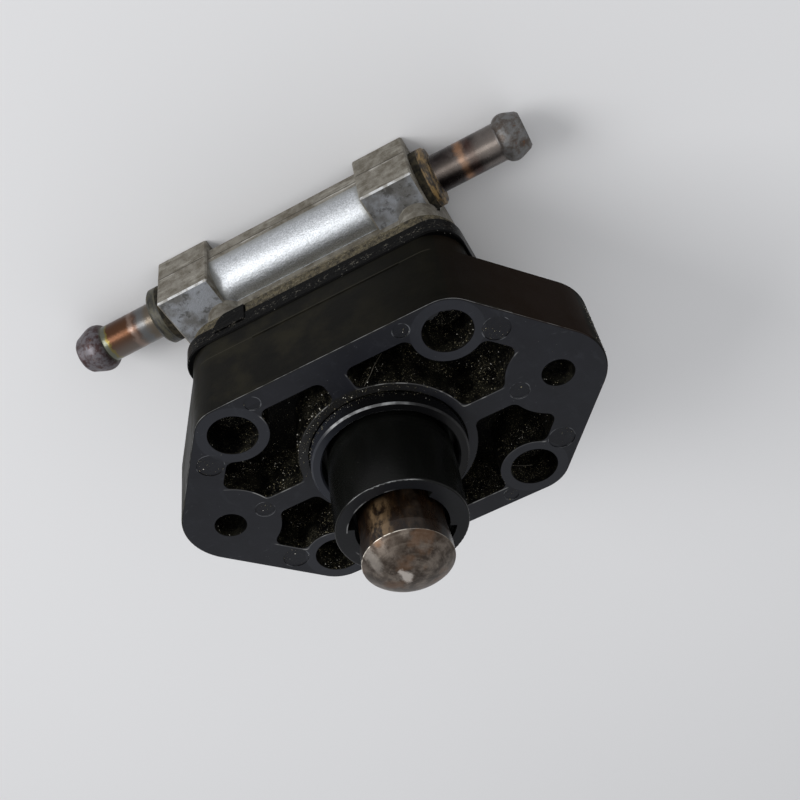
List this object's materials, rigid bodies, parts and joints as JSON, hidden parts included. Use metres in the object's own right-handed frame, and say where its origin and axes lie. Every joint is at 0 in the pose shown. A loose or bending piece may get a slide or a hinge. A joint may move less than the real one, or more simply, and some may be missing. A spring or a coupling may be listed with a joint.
{
  "type": "outboard fuel pump",
  "caption": "Cam-driven outboard fuel pump: plunger, rubber diaphragm and check valves in a flanged body, with a hose nipple at each end of the casting.",
  "frame": {"origin": "centre of the mounting face, midway between the two mounting holes", "axes": "+X through the mounting holes and along the outlet nipple, +Y towards the nipple bar, +Z along the plunger, out of the mounting face"},
  "size_m": [0.1063, 0.0592, 0.0827],
  "materials": {
    "body_plastic": "moulded, satin, scuffed",
    "plunger_steel": "turned, stained brown",
    "spring_steel": "drawn wire",
    "inner_steel": "plated, satin",
    "nipple_steel": "plated, worn to brown and copper tones",
    "cast_aluminium": "cast, dull, oxidised",
    "diaphragm_rubber": "moulded, slightly glossy",
    "rubber": "smooth",
    "valve_brass": "pressed, satin"
  },
  "bodies": {
    "housing": {"pump_body": "body_plastic", "rod_seal": "rubber", "spring_seat": "inner_steel", "plunger_spring": "spring_steel", "diaphragm": "diaphragm_rubber", "valve_body": "cast_aluminium", "inlet_nipple": "nipple_steel", "outlet_nipple": "nipple_steel", "inlet_nipple_seal": "rubber", "outlet_nipple_seal": "rubber", "inlet_valve_seat": "valve_brass", "inlet_valve_cage": "valve_brass", "inlet_valve_spring": "spring_steel", "outlet_valve_seat": "valve_brass", "outlet_valve_cage": "valve_brass", "outlet_valve_spring": "spring_steel", "assembly_screws": "inner_steel", "spring_washers": "spring_steel"},
    "plunger": {"plunger": "plunger_steel", "diaphragm_spring": "spring_steel"},
    "diaphragm_rod": {"diaphragm_rod": "inner_steel", "cross_pin": "inner_steel", "pin_seat": "inner_steel", "upper_diaphragm_disc": "inner_steel", "lower_diaphragm_disc": "inner_steel", "rod_nut": "inner_steel"},
    "inlet_valve": {"inlet_valve_disc": "rubber"},
    "outlet_valve": {"outlet_valve_disc": "rubber"}
  },
  "joints": [
    {"name": "plunger_slide", "type": "slide", "parent": "housing", "child": "plunger", "axis": [0, 0, 1], "range_m": [-0.006, 0], "stiffness_N_per_m": 1200, "springref_m": 0.02, "deforming": ["plunger_spring", "diaphragm_spring"]},
    {"name": "diaphragm_slide", "type": "slide", "parent": "housing", "child": "diaphragm_rod", "axis": [0, 0, 1], "range_m": [-0.0045, 0], "deforming": ["diaphragm"]},
    {"name": "inlet_valve_slide", "type": "slide", "parent": "housing", "child": "inlet_valve", "axis": [0, 0, 1], "range_m": [0, 0.001], "stiffness_N_per_m": 60, "springref_m": -0.002, "deforming": ["inlet_valve_spring"]},
    {"name": "outlet_valve_slide", "type": "slide", "parent": "housing", "child": "outlet_valve", "axis": [0, 0, 1], "range_m": [-0.001, 0], "stiffness_N_per_m": 60, "springref_m": 0.002, "deforming": ["outlet_valve_spring"]}
  ],
  "couplings": [
    {"joint": "diaphragm_slide", "follows": "plunger_slide", "ratio": 0.75}
  ]
}
